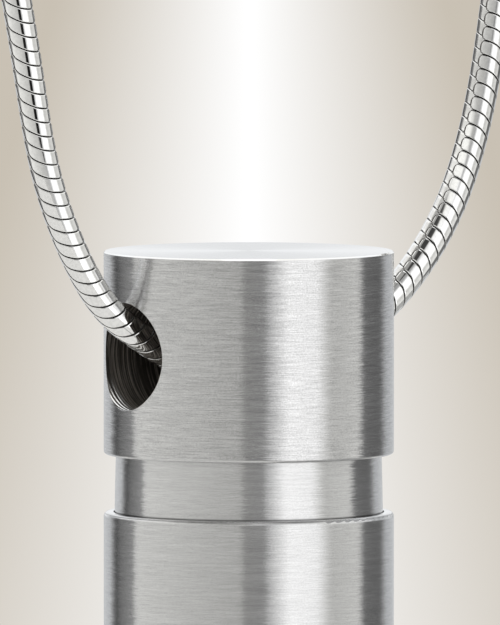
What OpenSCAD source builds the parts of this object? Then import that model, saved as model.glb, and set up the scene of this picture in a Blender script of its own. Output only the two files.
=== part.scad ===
// Cylinder keepsake pendant on a closed snake chain, hung up by the top of its loop.
// The origin is the middle of the clasp, at the top of the loop. The loop lies in the XZ plane,
// and the pendant's cross bore runs along X.

/* [Pendant] */
// Diameter of the head and of the vessel
pendant_d = 12; // [8:0.5:16]
// Height from the vessel's base to the top of the head
pendant_h = 38; // [30:1:50]
// Height of the head above the neck
head_h = 8.4; // [7:0.1:10]
// Height of the neck groove between the head and the vessel
neck_h = 2.4; // [1:0.05:4]
// Diameter of the neck where it meets the head
neck_top_d = 11; // [10:0.05:11.5]
// Diameter of the neck where it meets the vessel
neck_low_d = 11.1; // [10:0.05:11.5]

/* [Edges] */
// Broken edge round the top of the head
rim_break = 0.06; // [0.02:0.01:0.2]
// Rounding under the head
head_round = 0.13; // [0.05:0.01:0.4]
// Rounding round the top of the vessel
shoulder_round = 0.18; // [0.05:0.01:0.3]
// Rounding round the vessel's base
base_round = 0.4; // [0.2:0.1:1]

/* [Cross bore] */
// Diameter of the bore that the chain runs through
bore_d = 4.45; // [4:0.05:5]

/* [Screw and chamber] */
// Diameter of the plain stud that stands for the screw under the neck
stud_d = 7.9; // [6:0.1:8]
// Length of the stud
stud_h = 5; // [3:0.5:8]
// Break round the stud's tip
stud_break = 0.4; // [0.1:0.1:0.8]
// Diameter of the vessel's chamber
chamber_d = 8; // [6.1:0.1:9]
// Thickness of the vessel's floor
floor_t = 2; // [1:0.5:5]
// Depth that the neck's foot sits in the vessel's mouth
foot_h = 0.3; // [0.2:0.1:1]
// Gap round and under the neck's foot
foot_gap = 0.05; // [0.02:0.01:0.1]

/* [Chain] */
// Diameter of the snake chain
chain_d = 1.3; // [1:0.05:1.3]
// Sides of the chain's plain tube
chain_sides = 8; // [8:1:12]

/* [Clasp] */
// Length of the clasp
clasp_l = 9; // [8:0.5:12]
// Diameter of the clasp
clasp_d = 2.6; // [2.2:0.1:3.5]
// Rounding of the clasp's ends
clasp_round = 0.5; // [0.2:0.1:0.5]
// Depth of the socket in each end of the clasp
socket_h = 1.5; // [1:0.1:2]
// Gap round the chain in a socket
socket_gap = 0.1; // [0.05:0.05:0.2]

/* [Hidden] */
$fn = 96;
round_fn = 48;
// A little more than a cut needs, so that no face is left in its mouth
over = 1;

pendant_r = pendant_d / 2;
head_top = head_h / 2;
head_low = -head_h / 2;
vessel_top = head_low - neck_h;
foot_low = vessel_top - foot_h;
vessel_low = head_top - pendant_h;

// The chain's route, as control points of one smooth curve in millimetres to the right of the
// bore's axis centre and above it
loop_h = 222;
arc_r = 41;
arc_z = loop_h - 40.3;
arc_turns = [115, 140, 165, 190];
clasp_end = 3.2;
end_step = 6.8;
top_left = [
    [end_step - clasp_end, loop_h],
    [-clasp_end, loop_h],
    [-end_step - clasp_end, loop_h],
    for (a = arc_turns) [arc_r * cos(a), arc_z + arc_r * sin(a)]
];
left_strand = [
    [-38.3, 168], [-29.8, 120], [-21, 70], [-13.9, 30], [-11.9, 18.6], [-11.2, 15],
    [-10.7, 12.4], [-10.3, 10], [-9.8, 7.6], [-9, 5.5], [-8.1, 3.7], [-6.9, 1.9], [-5.2, 0.8]
];
in_bore = [[-3.4, -0.3], [-1.2, -1], [1.2, -1], [3.4, -0.3]];
right_strand = [
    [5.1, 0.6], [6.7, 1.75], [8.3, 3.35], [9.65, 5.3], [10.55, 7.3], [11.25, 9.6], [11.75, 12],
    [12.15, 14.6], [12.75, 18.2], [14.75, 30], [21.6, 70], [30.1, 120], [38.3, 168]
];
top_right = [for (i = [len(top_left) - 1 : -1 : 0]) [-top_left[i].x, top_left[i].y]];
route = concat(top_left, left_strand, in_bore, right_strand, top_right);
rings_per_span = 2;
last_span = len(route) - 4;

// Weights of four control points at a fraction t of a uniform cubic spline's span, and their slopes
function spline_weights(t) =
    [pow(1 - t, 3), 3 * pow(t, 3) - 6 * t * t + 4, -3 * pow(t, 3) + 3 * t * t + 3 * t + 1, pow(t, 3)] / 6;
function spline_slopes(t) =
    [-pow(1 - t, 2), 3 * t * t - 4 * t, -3 * t * t + 2 * t + 1, t * t] / 2;
function weigh(w, i) =
    w[0] * route[i] + w[1] * route[i + 1] + w[2] * route[i + 2] + w[3] * route[i + 3];

// Where each ring of the tube sits: the span that it is in, and the fraction along it
stations = concat(
    [for (i = [0 : last_span], k = [0 : rings_per_span - 1]) [i, k / rings_per_span]],
    [[last_span, 1]]
);

// One ring of the tube round a station, square to the route
function ring(s, r, sides) =
    let (c = weigh(spline_weights(s[1]), s[0]), d = weigh(spline_slopes(s[1]), s[0]), u = d / norm(d))
    [for (k = [0 : sides - 1]) let (a = 360 * (k + 0.5) / sides)
        [c.x - u.y * r * cos(a), r * sin(a), c.y + u.x * r * cos(a)]];

// A closed tube along all the stations
module route_tube(r, sides) {
    rings = len(stations);
    points = [for (s = stations) each ring(s, r, sides)];
    walls = [for (j = [0 : rings - 2], k = [0 : sides - 1])
        let (a = j * sides, b = a + sides, n = (k + 1) % sides) [a + k, a + n, b + n, b + k]];
    near_end = [[for (k = [sides - 1 : -1 : 0]) k]];
    far_end = [[for (k = [0 : sides - 1]) (rings - 1) * sides + k]];
    polyhedron(points, concat(walls, near_end, far_end));
}

// Puts a piece that is drawn round the centre of the cross bore in its place under the loop
module at_bore() {
    translate([0, 0, -loop_h]) children();
}

// Half outline of the head, of the neck, which widens a little towards the vessel, and of the stud
// under the neck's foot
module cap_outline() {
    stud_r = stud_d / 2;
    stud_low = vessel_top - stud_h;
    polygon([
        [0, head_top], [0, stud_low], [stud_r - stud_break, stud_low],
        [stud_r, stud_low + stud_break], [stud_r, foot_low], [neck_low_d / 2, foot_low],
        [neck_low_d / 2, vessel_top], [neck_top_d / 2, head_low], [pendant_r - head_round, head_low],
        [pendant_r, head_low + head_round], [pendant_r, head_top - rim_break],
        [pendant_r - rim_break, head_top]
    ]);
    translate([pendant_r - head_round, head_low + head_round]) circle(head_round, $fn = round_fn);
}

// Half outline of the vessel's outside, with a round edge at the top and at the base
module vessel_outline() {
    polygon([
        [0, vessel_low], [pendant_r - base_round, vessel_low], [pendant_r, vessel_low + base_round],
        [pendant_r, vessel_top - shoulder_round], [pendant_r - shoulder_round, vessel_top],
        [0, vessel_top]
    ]);
    translate([pendant_r - base_round, vessel_low + base_round]) circle(base_round, $fn = round_fn);
    translate([pendant_r - shoulder_round, vessel_top - shoulder_round])
        circle(shoulder_round, $fn = round_fn);
}

// The head, its neck and its screw stud are turned from one bar, and drilled through for the chain
module cap() {
    color([0.74, 0.74, 0.73]) at_bore() difference() {
        rotate_extrude() cap_outline();
        rotate([0, 90, 0]) cylinder(h = pendant_d + 2 * over, d = bore_d, center = true);
    }
}

// The cylinder below the neck: a blind chamber that the stud closes, and a seat for the neck's foot
module vessel() {
    chamber_h = vessel_top - vessel_low - floor_t;
    color([0.72, 0.72, 0.71]) at_bore() difference() {
        rotate_extrude() vessel_outline();
        translate([0, 0, vessel_low + floor_t]) cylinder(h = chamber_h + over, d = chamber_d);
        translate([0, 0, foot_low - foot_gap])
            cylinder(h = foot_h + foot_gap + over, d = neck_low_d + 2 * foot_gap);
    }
}

// The whole snake chain as a plain tube, from one end of the clasp round to the other
module chain() {
    color([0.83, 0.83, 0.84]) at_bore() route_tube(chain_d / 2, chain_sides);
}

// Quarter outline of the clasp, with one rounded end
module clasp_outline() {
    r = clasp_d / 2;
    h = clasp_l / 2;
    square([r - clasp_round, h]);
    square([r, h - clasp_round]);
    translate([r - clasp_round, h - clasp_round]) circle(clasp_round, $fn = round_fn);
}

// A plain barrel clasp with a socket in each end for the chain
module clasp() {
    color([0.83, 0.83, 0.84]) rotate([0, 90, 0]) difference() {
        rotate_extrude() union() {
            clasp_outline();
            mirror([0, 1]) clasp_outline();
        }
        for (side = [0, 1]) mirror([0, 0, side])
            translate([0, 0, clasp_l / 2 - socket_h])
                cylinder(h = socket_h + over, d = chain_d + 2 * socket_gap);
    }
}

chain();
clasp();
cap();
vessel();
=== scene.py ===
"""Looks of a steel cylinder keepsake pendant that hangs on a closed snake chain.

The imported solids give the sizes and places. This script dresses them in turned and polished
steel, models the snake chain plate by plate, and sets up the studio and the camera.
"""

import logging
import math
from collections.abc import Callable, Sequence
from dataclasses import dataclass, field
from enum import Enum

import bmesh
import bpy
from bpy.types import Material, Node, NodeSocket, NodeTree, Object
from mathutils import Matrix, Vector

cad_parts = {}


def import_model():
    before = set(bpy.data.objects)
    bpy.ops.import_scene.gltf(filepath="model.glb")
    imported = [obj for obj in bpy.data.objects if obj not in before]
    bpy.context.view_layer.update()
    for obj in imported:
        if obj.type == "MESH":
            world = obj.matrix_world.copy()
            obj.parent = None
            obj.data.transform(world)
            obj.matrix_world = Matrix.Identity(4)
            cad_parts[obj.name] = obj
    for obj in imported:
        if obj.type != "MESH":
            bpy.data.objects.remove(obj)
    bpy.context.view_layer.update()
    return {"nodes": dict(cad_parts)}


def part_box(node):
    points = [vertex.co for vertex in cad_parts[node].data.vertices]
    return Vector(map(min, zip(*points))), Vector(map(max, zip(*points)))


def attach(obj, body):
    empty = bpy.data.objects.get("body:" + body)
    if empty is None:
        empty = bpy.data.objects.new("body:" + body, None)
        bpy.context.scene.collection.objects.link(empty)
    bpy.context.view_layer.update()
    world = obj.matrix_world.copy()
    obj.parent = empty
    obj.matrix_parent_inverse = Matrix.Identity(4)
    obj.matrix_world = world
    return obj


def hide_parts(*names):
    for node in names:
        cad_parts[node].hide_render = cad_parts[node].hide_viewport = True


MM = 0.001
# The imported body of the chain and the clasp
NECKLACE = "necklace"
Pair = tuple[float, float]
Colour = tuple[float, float, float]
Source = NodeSocket | float | Sequence[float]
report = logging.getLogger("pendant")


class Mixed(Enum):
    """What a Mix node mixes: its name for it, and its first input and its output for it."""

    NUMBERS = ("FLOAT", 2, 0)
    VECTORS = ("VECTOR", 4, 1)
    COLOURS = ("RGBA", 6, 2)


class Bench:
    """Adds shader nodes to one node tree and joins them."""

    def __init__(self, tree: NodeTree) -> None:
        """Keeps the tree that the nodes go into, and adds its texture coordinates."""
        self.tree = tree
        self.coordinates = self.node("ShaderNodeTexCoord").outputs

    def node(self, kind: str, *sources: Source, **settings: object) -> Node:
        """Adds a node.

        Args:
            kind: The node's type name.
            *sources: What goes into its first inputs, in order.
            **settings: Values for the node's own properties.

        Returns:
            The new node.
        """
        made = self.tree.nodes.new(kind)
        for name, value in settings.items():
            setattr(made, name, value)
        for target, source in zip(made.inputs, sources):
            self.feed(target, source)
        return made

    def feed(self, target: NodeSocket, source: Source) -> None:
        """Joins an input to another node's output, or sets it to a plain value.

        Args:
            target: The input.
            source: The output or the value.
        """
        if isinstance(source, NodeSocket):
            self.tree.links.new(source, target)
        else:
            target.default_value = source

    def fill(self, node: Node, sources: dict[str, Source]) -> None:
        """Feeds some of a node's inputs, by their names."""
        for name, source in sources.items():
            self.feed(node.inputs[name], source)

    def math(self, operation: str, *sources: Source) -> NodeSocket:
        """Adds a Math node and gives its number."""
        return self.node("ShaderNodeMath", *sources, operation=operation).outputs[0]

    def times(self, first: Source, second: Source) -> NodeSocket:
        """Multiplies two numbers."""
        return self.math("MULTIPLY", first, second)

    def vector(self, operation: str, *sources: Source) -> NodeSocket:
        """Adds a Vector Math node, and gives its number for a length and otherwise its vector."""
        made = self.node("ShaderNodeVectorMath", *sources, operation=operation)
        return made.outputs["Value" if operation == "LENGTH" else "Vector"]

    def parts(self, source: Source) -> tuple[NodeSocket, ...]:
        """Splits a vector into its three numbers."""
        return tuple(self.node("ShaderNodeSeparateXYZ", source).outputs)

    def joined(self, *sources: Source) -> NodeSocket:
        """Makes a vector of three numbers."""
        return self.node("ShaderNodeCombineXYZ", *sources).outputs[0]

    def in_world(self, normal: Source) -> NodeSocket:
        """Turns a normal from the object's space into the world's, and makes it one unit long."""
        turned = self.node(
            "ShaderNodeVectorTransform", self.vector("NORMALIZE", normal), vector_type="NORMAL",
            convert_from="OBJECT", convert_to="WORLD",
        )
        return turned.outputs[0]

    def step(
        self, source: Source, start: float, end: float, low: float = 0.0, high: float = 1.0
    ) -> NodeSocket:
        """Turns a number smoothly from one level to another.

        Args:
            source: The number.
            start: Where the turn starts.
            end: Where it ends.
            low: The level up to the start.
            high: The level from the end on.

        Returns:
            The level.
        """
        given = (source, start, end, low, high)
        return self.node("ShaderNodeMapRange", *given, interpolation_type="SMOOTHSTEP").outputs[0]

    def mixed(self, kind: Mixed, amount: Source, first: Source, second: Source) -> NodeSocket:
        """Mixes two things of one kind.

        Args:
            kind: What they are.
            amount: How much of the second one shows.
            first: The first one.
            second: The second one.

        Returns:
            The mix.
        """
        name, start, result = kind.value
        made = self.node("ShaderNodeMix", data_type=name)
        for index, source in ((0, amount), (start, first), (start + 1, second)):
            self.feed(made.inputs[index], source)
        return made.outputs[result]

    def mix(self, amount: Source, first: Source, second: Source) -> NodeSocket:
        """Mixes two numbers."""
        return self.mixed(Mixed.NUMBERS, amount, first, second)

    def blend(self, amount: Source, *colours: Source) -> NodeSocket:
        """Mixes two colours, each of them an output or three numbers."""
        pair = ((*part, 1.0) if isinstance(part, tuple) else part for part in colours)
        return self.mixed(Mixed.COLOURS, amount, *pair)

    def noise(self, place: Source, scale: float, detail: float = 2.0) -> NodeSocket:
        """Adds a Noise Texture.

        Args:
            place: The coordinates that it reads.
            scale: How many waves it has in a unit of those coordinates.
            detail: How many finer layers it has.

        Returns:
            Its number, which lies mostly between 0.3 and 0.7.
        """
        made = self.node("ShaderNodeTexNoise")
        self.fill(made, {"Vector": place, "Scale": scale, "Detail": detail})
        return made.outputs[0]

    def swing(self, place: Source, scale: float, detail: float = 2.0) -> NodeSocket:
        """Adds a Noise Texture whose number swings about zero."""
        return self.math("SUBTRACT", self.noise(place, scale, detail), 0.5)


def start_material(name: str) -> tuple[Material, Bench, Node]:
    """Makes an empty material with nodes.

    Args:
        name: The material's name.

    Returns:
        The material, a bench for its nodes, and its Principled BSDF.
    """
    material = bpy.data.materials.new(name)
    material.use_nodes = True
    return material, Bench(material.node_tree), material.node_tree.nodes["Principled BSDF"]


def dress_node(node: Object, material: Material) -> None:
    """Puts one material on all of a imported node."""
    for slot in node.material_slots:
        slot.material = material


@dataclass(frozen=True)
class LatheMarks:
    """The tool marks of a lathe, which run round the Z axis.

    The scales of the wander and the grain are in waves a metre, and those of the bands and the
    sway in waves a line.
    """

    wander_scale: float = 3400.0
    wander: float = 0.035 * MM
    grain_scale: float = 24000.0
    grain: float = 0.85
    band_scale: float = 0.21
    sway_scale: float = 1.3
    sway_shift: tuple[float, float, float] = (17.0, 5.0, 3.0)

    def group(self) -> NodeTree:
        """Makes the marks' node group.

        Returns:
            A node group that puts out fine lines and wider bands, which swing about zero, and a
            normal that sways sideways from line to line.
        """
        tree = bpy.data.node_groups.new("turned_lines", "ShaderNodeTree")
        for side, kind, names in (
            ("INPUT", "NodeSocketVector", ("Place",)),
            ("INPUT", "NodeSocketFloat", ("Fineness", "Reach", "Sway")),
            ("OUTPUT", "NodeSocketFloat", ("Lines", "Bands")),
            ("OUTPUT", "NodeSocketVector", ("Normal",)),
        ):
            for name in names:
                tree.interface.new_socket(name=name, in_out=side, socket_type=kind)
        bench = Bench(tree)
        given = bench.node("NodeGroupInput").outputs
        made = bench.node("NodeGroupOutput").inputs
        x, y, z = bench.parts(given["Place"])
        across = bench.math("ADD", z, bench.vector("LENGTH", bench.joined(x, y, 0.0)))
        wander = bench.swing(given["Place"], self.wander_scale)
        across = bench.math("MULTIPLY_ADD", wander, self.wander, across)
        line_place = bench.joined(
            bench.times(x, given["Reach"]),
            bench.times(y, given["Reach"]),
            bench.times(across, given["Fineness"]),
        )
        grain = bench.swing(given["Place"], self.grain_scale, detail=1.0)
        lines = bench.swing(line_place, 1.0, detail=4.0)
        bench.feed(made["Lines"], bench.math("MULTIPLY_ADD", grain, self.grain, lines))
        bench.feed(made["Bands"], bench.swing(line_place, self.band_scale))
        sway_place = bench.vector("ADD", line_place, self.sway_shift)
        sway = bench.times(bench.swing(sway_place, self.sway_scale, detail=3.0), given["Sway"])
        around = bench.vector("NORMALIZE", bench.joined(bench.times(y, -1.0), x, 0.0))
        sideways = bench.vector("MULTIPLY", around, sway)
        swayed = bench.vector("ADD", bench.coordinates["Normal"], sideways)
        bench.feed(made["Normal"], bench.in_world(swayed))
        return tree


@dataclass(frozen=True)
class DrilledBore:
    """The bore through the head, along X: its place, and the drill's marks on its dark wall.

    Rings run all the way through. Bright arcs low in the bore's two mouths catch the light: their
    tilt reflects it, and their near-white colour is a painted highlight. Towards the bore's middle
    the wall's colour is painted shade.
    """

    height: float
    radius: float
    mouth: float
    slack: Pair = (0.012 * MM, 0.004 * MM)
    colour: Colour = (0.06, 0.053, 0.046)
    # Painted shade: the wall's colour towards the bore's middle
    deep_shade_colour: Colour = (0.018, 0.016, 0.014)
    deep_shares: Pair = (0.8, 0.2)
    roughness: float = 0.4
    metal: float = 0.55
    ring_colour: Colour = (0.55, 0.5, 0.45)
    ring_levels: Pair = (0.44, 0.68)
    ring_fineness: float = 15000.0
    ring_reach: float = 250.0
    ring_tilt: float = 1.2
    # Painted highlight: the arcs' near-white colour
    arc_highlight_colour: Colour = (0.93, 0.93, 0.92)
    arc_gap: float = 0.17 * MM
    arc_levels: Pair = (0.2, 0.7)
    arc_depths: Pair = (0.85 * MM, 0.34 * MM)
    arc_heights: Pair = (-0.4, -0.85)
    arc_waver: float = 6.0
    arc_waver_scale: float = 0.3
    arc_tilt: float = 0.75
    arc_roughness: float = 0.12

    def arcs(self, bench: Bench, x: NodeSocket, z: NodeSocket, ring_place: NodeSocket) -> NodeSocket:
        """Draws the bright arcs, whose colour is a painted highlight.

        Args:
            bench: The material's bench.
            x: How far along the bore a place is.
            z: How high it is.
            ring_place: The coordinates that the rings are drawn on.

        Returns:
            A mask of the arcs.
        """
        waver = bench.times(bench.noise(ring_place, self.arc_waver_scale), self.arc_waver)
        wave = bench.math("SINE", bench.math("MULTIPLY_ADD", x, math.tau / self.arc_gap, waver))
        deep, shallow = (self.mouth - depth for depth in self.arc_depths)
        in_mouth = bench.step(bench.math("ABSOLUTE", x), deep, shallow)
        high, low = (self.height + share * self.radius for share in self.arc_heights)
        arcs = bench.times(bench.step(wave, *self.arc_levels), in_mouth)
        return bench.times(arcs, bench.step(z, high, low))

    def marks(self, bench: Bench) -> tuple[NodeSocket, ...]:
        """Finds the wall of the bore, and draws the rings and the arcs on it.

        Args:
            bench: The material's bench.

        Returns:
            A mask of the wall, and its colour, roughness, metallic level and normal.
        """
        x, y, z = bench.parts(bench.coordinates["Object"])
        off_axis = bench.vector("LENGTH", bench.joined(0.0, y, bench.math("SUBTRACT", z, self.height)))
        outer, inner = (self.radius + slack for slack in self.slack)
        wall = bench.step(off_axis, outer, inner)
        fineness = (self.ring_fineness, self.ring_reach, self.ring_reach)
        ring_place = bench.vector("MULTIPLY", bench.coordinates["Object"], fineness)
        rings = bench.noise(ring_place, 1.0, detail=6.0)
        arcs = self.arcs(bench, x, z, ring_place)
        tilt = bench.times(bench.math("SUBTRACT", rings, 0.5), self.ring_tilt)
        outwards = bench.times(bench.math("SIGN", x), self.arc_tilt)
        tilt = bench.math("MULTIPLY_ADD", arcs, outwards, tilt)
        tilted = bench.vector("ADD", bench.coordinates["Normal"], bench.joined(tilt, 0.0, 0.0))
        # Painted shade: the wall darkens towards the bore's middle
        start, full = (share * self.mouth for share in self.deep_shares)
        deep = bench.step(bench.math("ABSOLUTE", x), start, full)
        colour = bench.blend(deep, self.colour, self.deep_shade_colour)
        colour = bench.blend(bench.step(rings, *self.ring_levels), colour, self.ring_colour)
        # Painted highlight on the arcs
        colour = bench.blend(arcs, colour, self.arc_highlight_colour)
        rough = bench.mix(arcs, self.roughness, self.arc_roughness)
        metal = bench.mix(arcs, self.metal, 1.0)
        return wall, colour, rough, metal, bench.in_world(tilted)


@dataclass(frozen=True)
class TurnedSteel:
    """Satin steel with the marks of a lathe, which draw each reflection out up and down.

    Its flat top is polished, and its round edge has a colour of its own: near white, it is polish
    with a painted highlight, and dark, it is painted shade. Below one height the marks are calmer,
    and above the foot a narrow dark line is painted shadow.
    """

    name: str
    colour: Colour = (0.62, 0.62, 0.62)
    line_shade: float = 0.92
    band_shade: float = 0.15
    fineness: float = 32000.0
    reach: float = 1000.0
    sway: float = 0.17
    roughness: float = 0.23
    roughness_spread: float = 0.08
    drawn_out: float = 0.95
    drawn_turn: float = 0.25
    calm_below: float = -1.0
    calm_fade: float = 0.1 * MM
    calm: float = 0.5
    calm_gain: float = 1.06
    # The neck's foot, just above which lies a narrow line of painted shadow
    foot: float = -1.0
    foot_shadow_height: float = 0.08 * MM
    foot_shadow_gain: float = 0.3
    # How far a face looks up where the top or the edge starts and is full: 1 is straight up
    top_facing: Pair = (0.85, 0.95)
    top_roughness: float = 0.1
    edge_facing: tuple[float, ...] = (0.56, 0.64, 0.77, 0.83)
    # Painted light on the round edge: near white, polish with a painted highlight; dark, painted shade
    edge_highlight_and_shade: Colour = (0.93, 0.93, 0.92)
    edge_roughness: float = 0.1

    def brightness(self, bench: Bench, height: NodeSocket, marks: Node) -> NodeSocket:
        """Works out how bright the steel is.

        Args:
            bench: The material's bench.
            height: How high a place is.
            marks: The node of the lathe's marks.

        Returns:
            What the steel's colour is multiplied by.
        """
        shade = bench.math(
            "ADD",
            bench.times(marks.outputs["Lines"], self.line_shade),
            bench.times(marks.outputs["Bands"], self.band_shade),
        )
        calm_turn = (self.calm_below - self.calm_fade, self.calm_below)
        level = bench.step(height, *calm_turn, self.calm, 1.0)
        gain = bench.step(height, *calm_turn, self.calm_gain, 1.0)
        # Painted shadow: the neck darkens just above its foot, where it meets the vessel
        foot = bench.step(height, self.foot, self.foot + self.foot_shadow_height, self.foot_shadow_gain, 1.0)
        return bench.math("MULTIPLY_ADD", shade, level, bench.times(gain, foot))

    def make(self, lines: NodeTree, bore: DrilledBore | None = None) -> Material:
        """Makes the material.

        Args:
            lines: The node group of the lathe's marks.
            bore: The bore through the piece, if it has one.

        Returns:
            The material.
        """
        material, bench, skin = start_material(self.name)
        place = bench.coordinates["Object"]
        marks = bench.node(
            "ShaderNodeGroup", place, self.fineness, self.reach, self.sway, node_tree=lines
        )
        brightness = self.brightness(bench, bench.parts(place)[2], marks)
        colour = bench.vector("MULTIPLY", self.colour, brightness)
        rough = bench.math("MULTIPLY_ADD", marks.outputs["Bands"], self.roughness_spread, self.roughness)
        facing_up = bench.parts(bench.coordinates["Normal"])[2]
        top = bench.step(facing_up, *self.top_facing)
        colour = bench.blend(top, colour, self.colour)
        rough = bench.mix(top, rough, self.top_roughness)
        plain = bench.node("ShaderNodeNewGeometry").outputs["Normal"]
        normal = bench.mixed(Mixed.VECTORS, top, marks.outputs["Normal"], plain)
        # Painted light: the round edge takes its painted highlight here, and on the vessel its painted
        # shade
        start, full, fade, end = self.edge_facing
        edge = bench.times(
            bench.step(facing_up, start, full), bench.step(facing_up, fade, end, 1.0, 0.0)
        )
        colour = bench.blend(edge, colour, self.edge_highlight_and_shade)
        rough = bench.mix(edge, rough, self.edge_roughness)
        metal = 1.0
        if bore is not None:
            wall, wall_colour, wall_rough, wall_metal, wall_normal = bore.marks(bench)
            colour = bench.blend(wall, colour, wall_colour)
            rough = bench.mix(wall, rough, wall_rough)
            metal = bench.mix(wall, metal, wall_metal)
            normal = bench.mixed(Mixed.VECTORS, wall, normal, wall_normal)
        direction = bench.node("ShaderNodeTangent", direction_type="RADIAL", axis="Z")
        bench.fill(skin, {
            "Base Color": colour, "Roughness": rough, "Metallic": metal, "Normal": normal,
            "Anisotropic": self.drawn_out, "Anisotropic Rotation": self.drawn_turn,
            "Tangent": direction.outputs[0],
        })
        return material


@dataclass(frozen=True)
class PolishedSteel:
    """Bright steel with a faint haze of wear, in patches that are a little duller."""

    name: str
    colour: Colour = (0.9, 0.9, 0.89)
    roughness: float = 0.05
    wear: float = 0.05
    wear_start: float = 0.4
    wear_scale: float = 2500.0
    patch_scale: float = 9000.0
    patch_levels: Pair = (0.35, 0.65)
    patch_dull: float = 0.9

    def make(self) -> Material:
        """Makes the material.

        Returns:
            The material.
        """
        material, bench, skin = start_material(self.name)
        place = bench.coordinates["Object"]
        haze = bench.math("SUBTRACT", bench.noise(place, self.wear_scale, detail=4.0), self.wear_start)
        dull = tuple(self.patch_dull * part for part in self.colour)
        patch = bench.step(bench.noise(place, self.patch_scale, detail=3.0), *self.patch_levels)
        bench.fill(skin, {
            "Base Color": bench.blend(patch, self.colour, dull), "Metallic": 1.0,
            "Roughness": bench.math("MULTIPLY_ADD", haze, self.wear, self.roughness),
        })
        return material


@dataclass(frozen=True)
class SeamAndShadeSteel:
    """Unpolished steel, for the dark sides of the plates and for their tucked ends; it also paints
    shade round and under the tips, and the tucked ends' colour is partly painted shade.
    """

    name: str
    colour: Colour = (0.1, 0.092, 0.085)
    pale: Colour = (0.2, 0.19, 0.18)
    roughness: float = 0.45
    roughness_spread: float = 0.2
    cloud_scale: float = 3000.0

    def make(self) -> Material:
        """Makes the material.

        Returns:
            The material.
        """
        material, bench, skin = start_material(self.name)
        cloud = bench.noise(bench.coordinates["Object"], self.cloud_scale, detail=3.0)
        bench.fill(skin, {
            "Base Color": bench.blend(cloud, self.colour, self.pale), "Metallic": 1.0,
            "Roughness": bench.math("MULTIPLY_ADD", cloud, self.roughness_spread, self.roughness),
        })
        return material


def deselect_all() -> None:
    """Deselects every object, because loading the frame leaves its nodes selected."""
    bpy.ops.object.select_all(action="DESELECT")


def make_active(piece: Object) -> None:
    """Selects one object alone and makes it the active one.

    Args:
        piece: The object.
    """
    deselect_all()
    piece.select_set(True)
    bpy.context.view_layer.objects.active = piece


def pick(piece: Object, wanted: Callable[[Vector], bool]) -> None:
    """Selects points of a piece in edit mode by their place, or in face mode faces by their middle.

    Args:
        piece: The piece that is being edited.
        wanted: Says of a place whether what is there is selected.
    """
    bpy.ops.mesh.select_all(action="DESELECT")
    shape = bmesh.from_edit_mesh(piece.data)
    if "FACE" in shape.select_mode:
        for face in shape.faces:
            face.select = wanted(face.calc_center_median())
    else:
        for point in shape.verts:
            point.select = wanted(point.co)
        shape.select_flush(True)
    bmesh.update_edit_mesh(piece.data)


def in_patch(place: Vector, turns: Pair, places: Pair) -> bool:
    """Says whether a place on a plate is between two turns in degrees and two places along it."""
    turn = math.degrees(math.atan2(place.z, place.y))
    return turns[0] < turn < turns[1] and places[0] < place.x < places[1]


def turn_selection(turn: float) -> None:
    """Turns what is selected about the X axis, by radians from +Y towards +Z."""
    bpy.ops.transform.rotate(
        value=-turn, orient_axis="X", orient_type="GLOBAL", center_override=(0.0, 0.0, 0.0)
    )


@dataclass(frozen=True)
class Route:
    """The chain's route, like that of the solid chain: control points of one smooth curve.

    They are in millimetres to the right of the cross bore's centre and above it.
    """

    loop_height: float = 222.0
    arc_radius: float = 41.0
    arc_drop: float = 40.3
    arc_turns: tuple[float, ...] = (115.0, 140.0, 165.0, 190.0)
    clasp_end: float = 3.2
    end_step: float = 6.8
    left_strand: tuple[Pair, ...] = (
        (-38.3, 168), (-29.8, 120), (-21, 70), (-13.9, 30), (-11.9, 18.6), (-11.2, 15),
        (-10.7, 12.4), (-10.3, 10), (-9.8, 7.6), (-9, 5.5), (-8.1, 3.7), (-6.9, 1.9),
        (-5.2, 0.8),
    )
    in_bore: tuple[Pair, ...] = ((-3.4, -0.3), (-1.2, -1), (1.2, -1), (3.4, -0.3))
    right_strand: tuple[Pair, ...] = (
        (5.1, 0.6), (6.7, 1.75), (8.3, 3.35), (9.65, 5.3), (10.55, 7.3), (11.25, 9.6), (11.75, 12),
        (12.15, 14.6), (12.75, 18.2), (14.75, 30), (21.6, 70), (30.1, 120), (38.3, 168),
    )

    def controls(self) -> list[Pair]:
        """Lists all the control points, from one side of the clasp round to the other.

        Returns:
            The points.
        """
        top_left = [
            (self.end_step - self.clasp_end, self.loop_height),
            (-self.clasp_end, self.loop_height),
            (-self.end_step - self.clasp_end, self.loop_height),
        ]
        for turn in map(math.radians, self.arc_turns):
            top_left.append((
                self.arc_radius * math.cos(turn),
                self.loop_height - self.arc_drop + self.arc_radius * math.sin(turn),
            ))
        top_right = [(-across, up) for across, up in reversed(top_left)]
        return [*top_left, *self.left_strand, *self.in_bore, *self.right_strand, *top_right]

    def spans(self) -> int:
        """Counts the curve's spans."""
        return len(self.controls()) - 3

    def length_to(self, place: float, steps: int = 16) -> float:
        """Measures the route from its start.

        Args:
            place: How many spans are measured, whole or not.
            steps: How many straight steps each span is measured in.

        Returns:
            The length in millimetres.
        """
        controls = self.controls()
        count = round(place * steps)
        points = []
        for index in range(count + 1):
            span = min(index // steps, self.spans() - 1)
            t = index / steps - span
            weights = ((1 - t) ** 3, 3 * t**3 - 6 * t**2 + 4, -3 * t**3 + 3 * t**2 + 3 * t + 1, t**3)
            near = controls[span : span + 4]
            points.append(tuple(
                sum(weight * point[axis] for weight, point in zip(weights, near)) / 6
                for axis in (0, 1)
            ))
        return sum(map(math.dist, points, points[1:]))


class Detail(Enum):
    """How finely a plate of the chain is modelled."""

    FINE = "fine"
    PLAIN = "plain"


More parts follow.
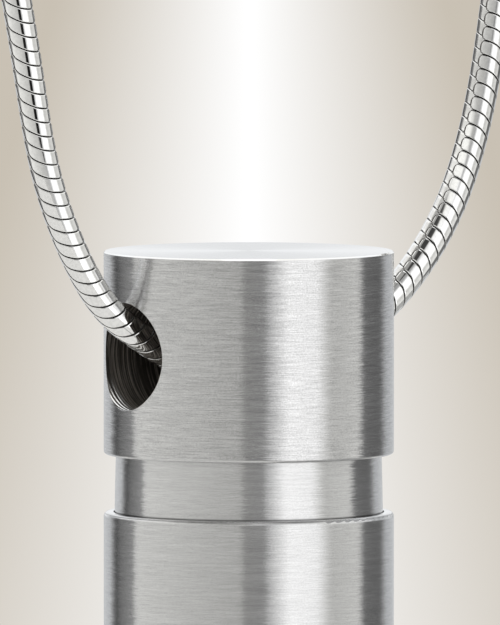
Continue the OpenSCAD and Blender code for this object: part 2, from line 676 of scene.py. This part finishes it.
@dataclass
class SnakeChain:
    """The whole snake chain: bent plates that lap one another, in millimetres along the chain.

    A plate is a band that leans across the chain and wraps it a little more than once. It starts
    in a free rounded tip, and its other end is tucked in under the tip.
    """

    route: Route = field(default_factory=Route)
    radius: float = 0.65
    pitch: float = 0.5957
    first_plate: float = 0.584
    seam: float = 0.038
    steep_seam: float = 1.0
    steep_start: float = 1.0
    wall: float = 0.1
    slant: float = 0.05
    edge_break: float = 0.045
    edge_steps: int = 2
    flat_inset: float = 0.05
    # The tip starts at a turn round the chain, and widens from a flat end to the plate's width
    tip_turn: float = -17.0
    tip_length: float = 0.2
    tip_flat: float = 0.14
    tip_curl: float = 0.035
    tip_shares: tuple[float, ...] = (0.0, 0.04, 0.14, 0.28, 0.46, 0.64, 0.82, 1.0)
    # The dark line round the tip, of dark unpolished steel and painted shade of the gap at its
    # edge: its widths, and then places as shares of the tip's length
    tip_shade_line: float = 0.115
    side_shade_line: float = 0.05625
    line_start: float = -0.1
    line_closed: float = 0.45
    line_narrows: float = 0.6
    # Turn round the chain in degrees, and place along it in millimetres
    band: tuple[Pair, ...] = (
        (12, -0.01), (24, -0.04), (36, -0.08), (48, -0.13), (60, -0.2), (72, -0.275), (84, -0.355),
        (94, -0.42), (102, -0.485), (109, -0.56), (114, -0.66), (118, -0.77), (121, -0.87),
        (124, -0.97), (127, -1.05), (131, -1.11), (140, -1.14), (155, -1.15), (170, -1.15),
        (190, -1.15), (215, -1.12), (240, -1.06), (262, -0.98), (280, -0.9),
    )
    # Turn, place, and how deep the tucked end is sunk there
    tuck: tuple[tuple[float, float, float], ...] = (
        (290, -0.87, 0.006), (295, -0.875, 0.02), (299, -0.88, 0.034), (303, -0.89, 0.047),
        (308, -0.91, 0.06), (314, -0.93, 0.072), (320, -0.95, 0.085), (326, -0.965, 0.1),
        (332, -0.985, 0.117), (338, -1.0, 0.132), (344, -1.02, 0.144), (354, -1.025, 0.147),
        (369, -1.03, 0.15),
    )
    tuck_width: float = 1.04
    # The middle of the tucked end, partly unpolished steel and partly painted shade, and its last bit,
    # well under the next tips, painted dark as painted shade: turns and places
    tuck_patch: tuple[Pair, Pair] = ((-50.0, -17.0), (-1.12, -0.8))
    covered_shade_patch: tuple[Pair, Pair] = ((-6.0, 12.0), (-2.0, -0.3718))
    plain_skip: int = 4
    merge_below: float = 1e-5
    smooth_below: float = 40.0
    # How far the plates' crests are turned on the two strands, and where the chain turns over
    crest_left: float = 26.0
    crest_right: float = 55.0
    bore_spans: tuple[int, int] = (17, 22)
    front_spans: Pair = (9.8, 31.2)
    curve_order: int = 4
    curve_steps: int = 32

    def width(self) -> float:
        """Gives the width of a plate along the chain."""
        return self.pitch - self.seam

    def tip_width(self, share: float) -> float:
        """Gives the tip's width, in plates' widths, at a share of the tip's length."""
        corner = math.sqrt(1.0 - (1.0 - share) ** 2)
        return self.tip_flat + (1.0 - self.tip_flat) * corner

    def stations(self, detail: Detail) -> list[tuple[float, ...]]:
        """Works out a plate's cross sections from its tip to its tucked end.

        Args:
            detail: How finely it is modelled.

        Returns:
            For each section its turn round the chain in radians, its place along the chain, its
            width as a share of the plate's, and how deep it is sunk.
        """
        fine = detail is Detail.FINE
        tip_shares = self.tip_shares if fine else (self.tip_shares[0], self.tip_shares[-1])
        skip = 1 if fine else self.plain_skip
        start = math.radians(self.tip_turn)
        tip_turn = self.tip_length / self.radius
        found = []
        for share in tip_shares:
            curl = self.tip_curl * (1.0 - share) ** 2
            found.append((start + share * tip_turn, 0.0, self.tip_width(share), curl))
        last_turn, last_place = math.degrees(start + tip_turn), 0.0
        for turn, place in self.band[::skip]:
            steep = abs(place - last_place) / (self.radius * math.radians(turn - last_turn))
            extra = self.steep_seam * max(steep - self.steep_start, 0.0)
            seam = self.seam * math.hypot(1.0, steep) * (1.0 + extra)
            width = (self.pitch - seam) / self.width()
            found.append((math.radians(turn), place, width, 0.0))
            last_turn, last_place = turn, place
        for turn, place, depth in self.tuck[::skip]:
            found.append((math.radians(turn), place, self.tuck_width, depth))
        return found

    def model_plate(self, detail: Detail, finishes: Sequence[Material]) -> Object:
        """Models one plate round the X axis, by a small section that runs from station to station.

        Args:
            detail: How finely it is modelled.
            finishes: The finishes of its sides and painted shade, of its outer face, and of its tucked
                end.

        Returns:
            The plate, in millimetres, with its middle at the origin.
        """
        deselect_all()
        fine = detail is Detail.FINE
        half = self.width() / 2
        floor = self.radius - self.wall
        middle = (0.0, self.radius - self.wall / 2, 0.0)
        bpy.ops.mesh.primitive_plane_add(size=1.0, location=middle)
        plate = bpy.context.object
        bpy.ops.object.transform_apply(location=True)
        bpy.ops.object.mode_set(mode="EDIT")
        bpy.ops.mesh.select_mode(type="VERT")
        bpy.ops.mesh.select_all(action="SELECT")
        bpy.ops.transform.resize(value=(self.width(), self.wall, 1.0), center_override=middle)
        if fine:
            pick(plate, lambda place: place.y > floor + self.wall / 2)
            bpy.ops.mesh.bevel(offset=self.edge_break, segments=self.edge_steps, affect="VERTICES")
            for inset in (self.flat_inset, self.tip_shade_line):
                for side in (-1, 1):
                    bpy.ops.mesh.select_all(action="SELECT")
                    bpy.ops.mesh.bisect(
                        plane_co=(side * (half - inset), 0.0, 0.0), plane_no=(1.0, 0.0, 0.0),
                        threshold=self.merge_below,
                    )
        pick(plate, lambda place: place.y < floor + self.wall / 4)
        bpy.ops.transform.translate(value=(self.slant, 0.0, 0.0))
        pick(plate, lambda place: place.y > self.radius - self.edge_break / 2)
        plate.vertex_groups.new(name="outer")
        bpy.ops.object.vertex_group_assign()
        self.sweep_plate(self.stations(detail))
        bpy.ops.mesh.select_all(action="SELECT")
        bpy.ops.mesh.remove_doubles(threshold=self.merge_below)
        bpy.ops.mesh.normals_make_consistent(inside=False)
        for finish in finishes:
            plate.data.materials.append(finish)
        bpy.ops.mesh.select_all(action="DESELECT")
        bpy.ops.object.vertex_group_select()
        plate.active_material_index = 1
        bpy.ops.object.material_slot_assign()
        if fine:
            # Painted shade round and under the tips; the tucked middle is partly painted shade
            bpy.ops.mesh.select_mode(type="FACE")
            for slot, wanted in (
                (0, self.in_tip_shade_line), (0, lambda place: in_patch(place, *self.covered_shade_patch)),
                (2, lambda place: in_patch(place, *self.tuck_patch)),
            ):
                pick(plate, wanted)
                plate.active_material_index = slot
                bpy.ops.object.material_slot_assign()
        bpy.ops.object.mode_set(mode="OBJECT")
        bpy.ops.object.vertex_group_remove(all=True)
        bpy.ops.object.shade_smooth_by_angle(angle=math.radians(self.smooth_below))
        return plate

    def in_tip_shade_line(self, place: Vector) -> bool:
        """Says whether a place on a plate is in the tip's line of painted shade.

        Args:
            place: The place.

        Returns:
            Whether it is in the line.
        """
        turn = math.atan2(place.z, place.y)
        share = (turn - math.radians(self.tip_turn)) * self.radius / self.tip_length
        if not self.line_start < share < 1.0 or abs(place.x) > self.width():
            return False
        line = self.tip_shade_line if share < self.line_narrows else self.side_shade_line
        edge = self.tip_width(max(share, 0.0)) * (self.width() / 2 - line)
        return share < self.line_closed or abs(place.x) > edge

    def sweep_plate(self, stations: list[tuple[float, ...]]) -> None:
        """Extrudes the section that is being edited from station to station.

        Args:
            stations: The plate's cross sections.
        """
        bpy.ops.mesh.select_all(action="SELECT")
        last_turn, last_place, last_width, last_depth = 0.0, 0.0, 1.0, 0.0
        for index, (turn, place, width, depth) in enumerate(stations):
            if index:
                bpy.ops.mesh.extrude_region_move()
            turn_selection(turn - last_turn)
            bpy.ops.transform.translate(value=(place - last_place, 0.0, 0.0))
            bpy.ops.transform.resize(
                value=(width / last_width, 1.0, 1.0), center_override=(place, 0.0, 0.0)
            )
            sink = last_depth - depth
            bpy.ops.transform.translate(value=(0.0, sink * math.cos(turn), sink * math.sin(turn)))
            last_turn, last_place, last_width, last_depth = turn, place, width, depth

    def lay_curve(self, bore_height: float) -> Object:
        """Draws the route as a smooth curve, with the twist that turns the plates' crests.

        Args:
            bore_height: The height of the cross bore's axis, in metres.

        Returns:
            The curve.
        """
        data = bpy.data.curves.new("chain_route", "CURVE")
        data.dimensions = "3D"
        data.twist_mode = "MINIMUM"
        line = data.splines.new("NURBS")
        controls = self.route.controls()
        line.points.add(len(controls) - 1)
        first, last = self.bore_spans
        for index, (point, (across, up)) in enumerate(zip(line.points, controls)):
            point.co = (across * MM, 0.0, bore_height + up * MM, 1.0)
            share = min(max((index - first) / (last - first), 0.0), 1.0)
            point.tilt = -math.radians(self.crest_left + (self.crest_right - self.crest_left) * share)
        line.order_u = self.curve_order
        line.resolution_u = self.curve_steps
        curve = bpy.data.objects.new("chain_route", data)
        bpy.context.scene.collection.objects.link(curve)
        return curve

    def lay_plates(self, name: str, plate: Object, curve: Object, first: int, count: int) -> Object:
        """Repeats a plate along a stretch of the route, and gives it its body.

        Args:
            name: The new piece's name.
            plate: The plate, in metres.
            curve: The route.
            first: The number of the stretch's first plate.
            count: How many plates it has.

        Returns:
            The stretch of chain.
        """
        stretch = plate.copy()
        stretch.data = plate.data.copy()
        stretch.name = name
        stretch.data.name = name
        bpy.context.scene.collection.objects.link(stretch)
        start = (self.first_plate + first * self.pitch) * MM
        stretch.data.transform(Matrix.Translation((start, 0.0, 0.0)))
        make_active(stretch)
        row = stretch.modifiers.new("row", "ARRAY")
        row.count = count
        row.use_relative_offset = False
        row.use_constant_offset = True
        row.constant_offset_displace = (self.pitch * MM, 0.0, 0.0)
        bend = stretch.modifiers.new("bend", "CURVE")
        bend.object = curve
        bend.deform_axis = "POS_X"
        bpy.ops.object.modifier_apply(modifier="row")
        bpy.ops.object.modifier_apply(modifier="bend")
        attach(stretch, NECKLACE)
        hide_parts("chain")
        return stretch

    def build(self, bore_height: float) -> list[Object]:
        """Builds the chain: a stretch of fine plates in front, and plain ones up both sides.

        Args:
            bore_height: The height of the cross bore's axis, in metres.

        Returns:
            The three stretches.
        """
        curve = self.lay_curve(bore_height)
        whole = self.route.length_to(self.route.spans())
        total = math.floor((whole - 2 * self.first_plate) / self.pitch) + 1
        front, back = (
            round((self.route.length_to(place) - self.first_plate) / self.pitch)
            for place in self.front_spans
        )
        # The seams' finish also paints shade round and under the tips; the tucks' is partly painted
        # shade
        finishes = [
            SeamAndShadeSteel("chain_seams_and_shade").make(),
            PolishedSteel("chain_steel").make(),
            SeamAndShadeSteel("chain_tucks_and_shade", (0.6, 0.595, 0.585), (0.9, 0.895, 0.88), 0.1).make(),
        ]
        plates = {}
        for detail in Detail:
            plates[detail] = self.model_plate(detail, finishes)
            plates[detail].data.transform(Matrix.Scale(MM, 4))
        stretches = [
            self.lay_plates("chain_left", plates[Detail.PLAIN], curve, 0, front),
            self.lay_plates("chain_front", plates[Detail.FINE], curve, front, back - front),
            self.lay_plates("chain_right", plates[Detail.PLAIN], curve, back, total - back),
        ]
        for spare in (*plates.values(), curve):
            bpy.data.objects.remove(spare)
        report.info("chain: %d plates, %d of them fine", total, back - front)
        return stretches


@dataclass
class Pendant:
    """The head with its neck, and the vessel that is screwed on under it."""

    nodes: dict[str, Object]
    bore_below_origin: float = 222.0
    bore_radius: float = 2.225
    head_below_bore: float = 4.2
    neck_height: float = 2.4

    def bore(self) -> DrilledBore:
        """Gives the cross bore through the head, in metres."""
        height = -self.bore_below_origin * MM
        return DrilledBore(height, self.bore_radius * MM, mouth=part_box("cap")[1][0])

    def dress(self) -> None:
        """Gives the head and the vessel their turned steel."""
        lines = LatheMarks().group()
        head_low = self.bore().height - self.head_below_bore * MM
        head = TurnedSteel("head_steel", calm_below=head_low, foot=head_low - self.neck_height * MM)
        # The vessel's round top edge is painted dark: painted shade
        vessel = TurnedSteel(
            "vessel_steel", (0.645, 0.645, 0.645), line_shade=0.48, band_shade=0.12, sway=0.12,
            edge_highlight_and_shade=(0.33, 0.33, 0.33), edge_roughness=0.25,
        )
        dress_node(self.nodes["cap"], head.make(lines, self.bore()))
        dress_node(self.nodes["vessel"], vessel.make(lines))


# Tints of the lit walls
WARM = (1.0, 0.996, 0.967)
COOL = (0.965, 0.985, 1.01)


@dataclass(frozen=True)
class Panel:
    """A stretch of the studio's wall, by turn from the camera's side in degrees, and its light."""

    start: float
    end: float
    start_light: float
    end_light: float
    tint: Colour = (1.0, 1.0, 1.0)


@dataclass(frozen=True)
class Shade:
    """A dark shape in front of the wall, by turn and by height above the horizon in degrees."""

    turn: float
    half_width: float
    height: float
    half_height: float
    soft: float
    depth: float


@dataclass
class Studio:
    """The camera, the lit walls round the pendant, the glow behind it and the floor."""

    azimuth: float = -31.8
    elevation: float = 3.6
    distance: float = 0.85
    frame_height: float = 0.025837
    sensor: float = 36.0
    clip: Pair = (0.05, 20.0)
    aim_right: float = 0.05 * MM
    aim_up: float = 1.64 * MM
    floor_height: float = -0.45
    floor_radius: float = 0.5
    floor_corners: int = 96
    floor_paint: Colour = (0.93, 0.92, 0.9)
    card_turn: float = 110.0
    card_reach: float = 0.29
    card_size: Pair = (0.45, 0.5)
    card_lift: float = 1.0 * MM
    card_paint: Colour = (0.5, 0.5, 0.49)
    paint_roughness: float = 0.9
    paint_cloud: float = 3.0
    paint_dull: float = 0.95
    panels: tuple[Panel, ...] = (
        Panel(-180, -146, 0.64, 0.64, COOL),
        Panel(-135, -130, 0.14, 0.06),
        Panel(-127, -106, 0.17, 0.31),
        Panel(-103, -6, 0.82, 0.5, WARM),
        Panel(14, 31, 0.45, 1.35),
        Panel(32, 57, 1.42, 1.3),
        Panel(69, 99, 0.64, 0.79, WARM),
        Panel(105, 130, 0.16, 0.14),
        Panel(142, 180, 0.57, 0.66, COOL),
    )
    # Low in front, in front, wide over the wall, and high and a little to the left
    shades: tuple[Shade, ...] = (
        Shade(4.5, 10.5, -12.2, 4.6, 2.0, 0.98),
        Shade(4.5, 10.5, -1.0, 8.0, 2.5, 0.66),
        Shade(0.0, 92.0, 53.0, 24.0, 14.0, 0.65),
        Shade(-18.0, 24.0, 45.0, 12.0, 5.0, 0.85),
    )
    # Where the wall's upper edge, the low light, the panel behind and the top light start and
    # are full, in degrees
    wall_top: Pair = (15.0, 21.0)
    above_wall: float = 1.1
    low_heights: Pair = (-14.0, -5.0)
    low_gain: float = 1.15
    back_turns: Pair = (148.0, 158.0)
    back_heights: Pair = (0.5, 3.0)
    back_panel: Colour = (0.97, 0.985, 1.0)
    top_heights: Pair = (78.0, 85.0)
    top_light: float = 2.7
    beige: Colour = (0.584, 0.533, 0.456)
    glow: Colour = (1.02, 1.02, 1.02)
    glow_reach: Pair = (0.0095, 0.0185)
    glow_fall: float = 1.25

    def place_camera(self, centre: Vector) -> None:
        """Sets the camera at the photograph's angle.

        Args:
            centre: The middle of the cross bore.
        """
        turn, rise = math.radians(self.azimuth), math.radians(self.elevation)
        right = Vector((math.cos(turn), math.sin(turn), 0.0))
        back = Vector((
            math.sin(turn) * math.cos(rise), -math.cos(turn) * math.cos(rise), math.sin(rise)
        ))
        aim = centre + self.aim_right * right + self.aim_up * Vector((0.0, 0.0, 1.0))
        data = bpy.data.cameras.new("camera")
        data.sensor_width = self.sensor
        data.lens = self.sensor * self.distance / self.frame_height
        data.clip_start, data.clip_end = self.clip
        camera = bpy.data.objects.new("camera", data)
        camera.location = aim + self.distance * back
        camera.rotation_euler = (math.pi / 2 - rise, 0.0, turn)
        bpy.context.scene.collection.objects.link(camera)
        bpy.context.scene.camera = camera

    def lay_floor(self) -> None:
        """Lays a plain pale floor far under the pendant, and a dark card on its right."""
        deselect_all()
        bpy.ops.mesh.primitive_circle_add(
            vertices=self.floor_corners, radius=self.floor_radius, fill_type="NGON",
            location=(0.0, 0.0, self.floor_height),
        )
        self.paint("floor", self.floor_paint)
        deselect_all()
        turn = math.radians(self.azimuth + self.card_turn)
        bpy.ops.mesh.primitive_plane_add(
            size=1.0, rotation=(0.0, 0.0, turn),
            location=(
                self.card_reach * math.sin(turn), -self.card_reach * math.cos(turn),
                self.floor_height + self.card_lift,
            ),
        )
        bpy.context.object.scale = (*self.card_size, 1.0)
        self.paint("card", self.card_paint)

    def paint(self, name: str, colour: Colour) -> None:
        """Names and paints the prop that was just added.

        Args:
            name: The prop's name.
            colour: The paint's colour.
        """
        prop = bpy.context.object
        prop.name = name
        bpy.ops.object.transform_apply()
        material, bench, skin = start_material(f"{name}_paint")
        cloud = bench.noise(bench.coordinates["Object"], self.paint_cloud)
        dull = tuple(self.paint_dull * part for part in colour)
        bench.fill(skin, {
            "Base Color": bench.blend(cloud, colour, dull), "Roughness": self.paint_roughness
        })
        prop.data.materials.append(material)

    def light_walls(self) -> None:
        """Lights the walls that the steel mirrors, and the glow behind the pendant."""
        scene = bpy.context.scene
        scene.view_settings.view_transform = "Standard"
        world = bpy.data.worlds.new("studio")
        scene.world = world
        world.use_nodes = True
        bench = Bench(world.node_tree)
        turned = bench.node("ShaderNodeMapping", bench.coordinates["Generated"], vector_type="POINT")
        turned.inputs["Rotation"].default_value = (0.0, 0.0, -math.radians(self.azimuth))
        across, away, up = bench.parts(turned.outputs[0])
        to_degrees = math.degrees(1.0)
        turn = bench.times(bench.math("ARCTAN2", across, bench.times(away, -1.0)), to_degrees)
        height = bench.times(bench.math("ARCSINE", up), to_degrees)
        light = self.wall_light(bench, turn, height)
        backdrop = self.backdrop(bench, across, up)
        seen = bench.node("ShaderNodeLightPath").outputs["Is Camera Ray"]
        background = world.node_tree.nodes["Background"]
        bench.feed(background.inputs["Color"], bench.blend(seen, light, backdrop))

    def wall_light(self, bench: Bench, turn: NodeSocket, height: NodeSocket) -> NodeSocket:
        """Works out the light that comes from a direction.

        Args:
            bench: The world's bench.
            turn: The direction's turn from the camera's side, in degrees.
            height: Its height above the horizon, in degrees.

        Returns:
            The light's colour.
        """
        levels = [
            (level,) * 3 for panel in self.panels for level in (panel.start_light, panel.end_light)
        ]
        light = bench.parts(self.panel_ramp(bench, turn, levels))[0]
        tint = self.panel_ramp(bench, turn, [panel.tint for panel in self.panels for _ in range(2)])
        lift = bench.math("SUBTRACT", bench.math("MAXIMUM", light, self.above_wall), light)
        light = bench.math("MULTIPLY_ADD", bench.step(height, *self.wall_top), lift, light)
        for shade in self.shades:
            sideways = bench.math("ABSOLUTE", bench.math("SUBTRACT", turn, shade.turn))
            upwards = bench.math("ABSOLUTE", bench.math("SUBTRACT", height, shade.height))
            inside = bench.times(
                bench.step(sideways, shade.half_width - shade.soft, shade.half_width, 1.0, 0.0),
                bench.step(upwards, shade.half_height - shade.soft, shade.half_height, 1.0, 0.0),
            )
            light = bench.times(light, bench.math("MULTIPLY_ADD", inside, -shade.depth, 1.0))
        behind = bench.times(
            bench.step(bench.math("ABSOLUTE", turn), *self.back_turns),
            bench.step(height, *self.back_heights),
        )
        low = bench.step(height, *self.low_heights, self.low_gain, 1.0)
        lit = bench.vector("MULTIPLY", tint, bench.times(light, low))
        lit = bench.blend(behind, lit, self.back_panel)
        return bench.blend(bench.step(height, *self.top_heights), lit, (self.top_light,) * 3)

    def panel_ramp(self, bench: Bench, turn: NodeSocket, colours: list[Colour]) -> NodeSocket:
        """Adds a ramp with two marks for each panel.

        Args:
            bench: The world's bench.
            turn: The direction's turn from the camera's side, in degrees.
            colours: The colours at each panel's start and end.

        Returns:
            The ramp's colour.
        """
        ramp = bench.node("ShaderNodeValToRGB", bench.math("MULTIPLY_ADD", turn, 1 / 360, 0.5))
        places = [place for panel in self.panels for place in (panel.start, panel.end)]
        marks = ramp.color_ramp.elements
        while len(marks) < len(places):
            marks.new(1.0)
        for mark, place in zip(marks, places):
            mark.position = place / 360 + 0.5
        for mark, colour in zip(marks, colours):
            mark.color = (*colour, 1.0)
        return ramp.outputs[0]

    def backdrop(self, bench: Bench, across: NodeSocket, up: NodeSocket) -> NodeSocket:
        """Works out the beige backdrop, with a white glow that widens towards the bottom.

        Args:
            bench: The world's bench.
            across: How far to the right the camera looks, as a slope.
            up: How far up it looks, as a slope.

        Returns:
            The backdrop's colour.
        """
        middle = -math.sin(math.radians(self.elevation))
        half = self.frame_height / self.distance / 2
        reach = bench.node("ShaderNodeMapRange", up, middle + half, middle - half, *self.glow_reach)
        share = bench.math("DIVIDE", bench.math("ABSOLUTE", across), reach.outputs[0])
        left = bench.math("SUBTRACT", 1.0, bench.math("MINIMUM", share, 1.0))
        glow = bench.math("POWER", left, self.glow_fall)
        return bench.blend(glow, self.beige, self.glow)


def main() -> None:
    """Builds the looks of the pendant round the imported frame."""
    logging.basicConfig(level=logging.INFO, format="%(name)s: %(message)s")
    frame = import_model()
    nodes = frame["nodes"]

    studio = Studio()
    pendant = Pendant(nodes)
    bore_height = pendant.bore().height
    studio.place_camera(Vector((0.0, 0.0, bore_height)))
    studio.light_walls()
    studio.lay_floor()
    report.info("studio: camera, walls and floor")

    for stretch in SnakeChain().build(bore_height):
        report.info("%s: %d faces", stretch.name, len(stretch.data.polygons))

    pendant.dress()
    dress_node(nodes["clasp"], PolishedSteel("clasp_steel").make())
    report.info("pendant and clasp: dressed")


if __name__ == "__main__":
    main()
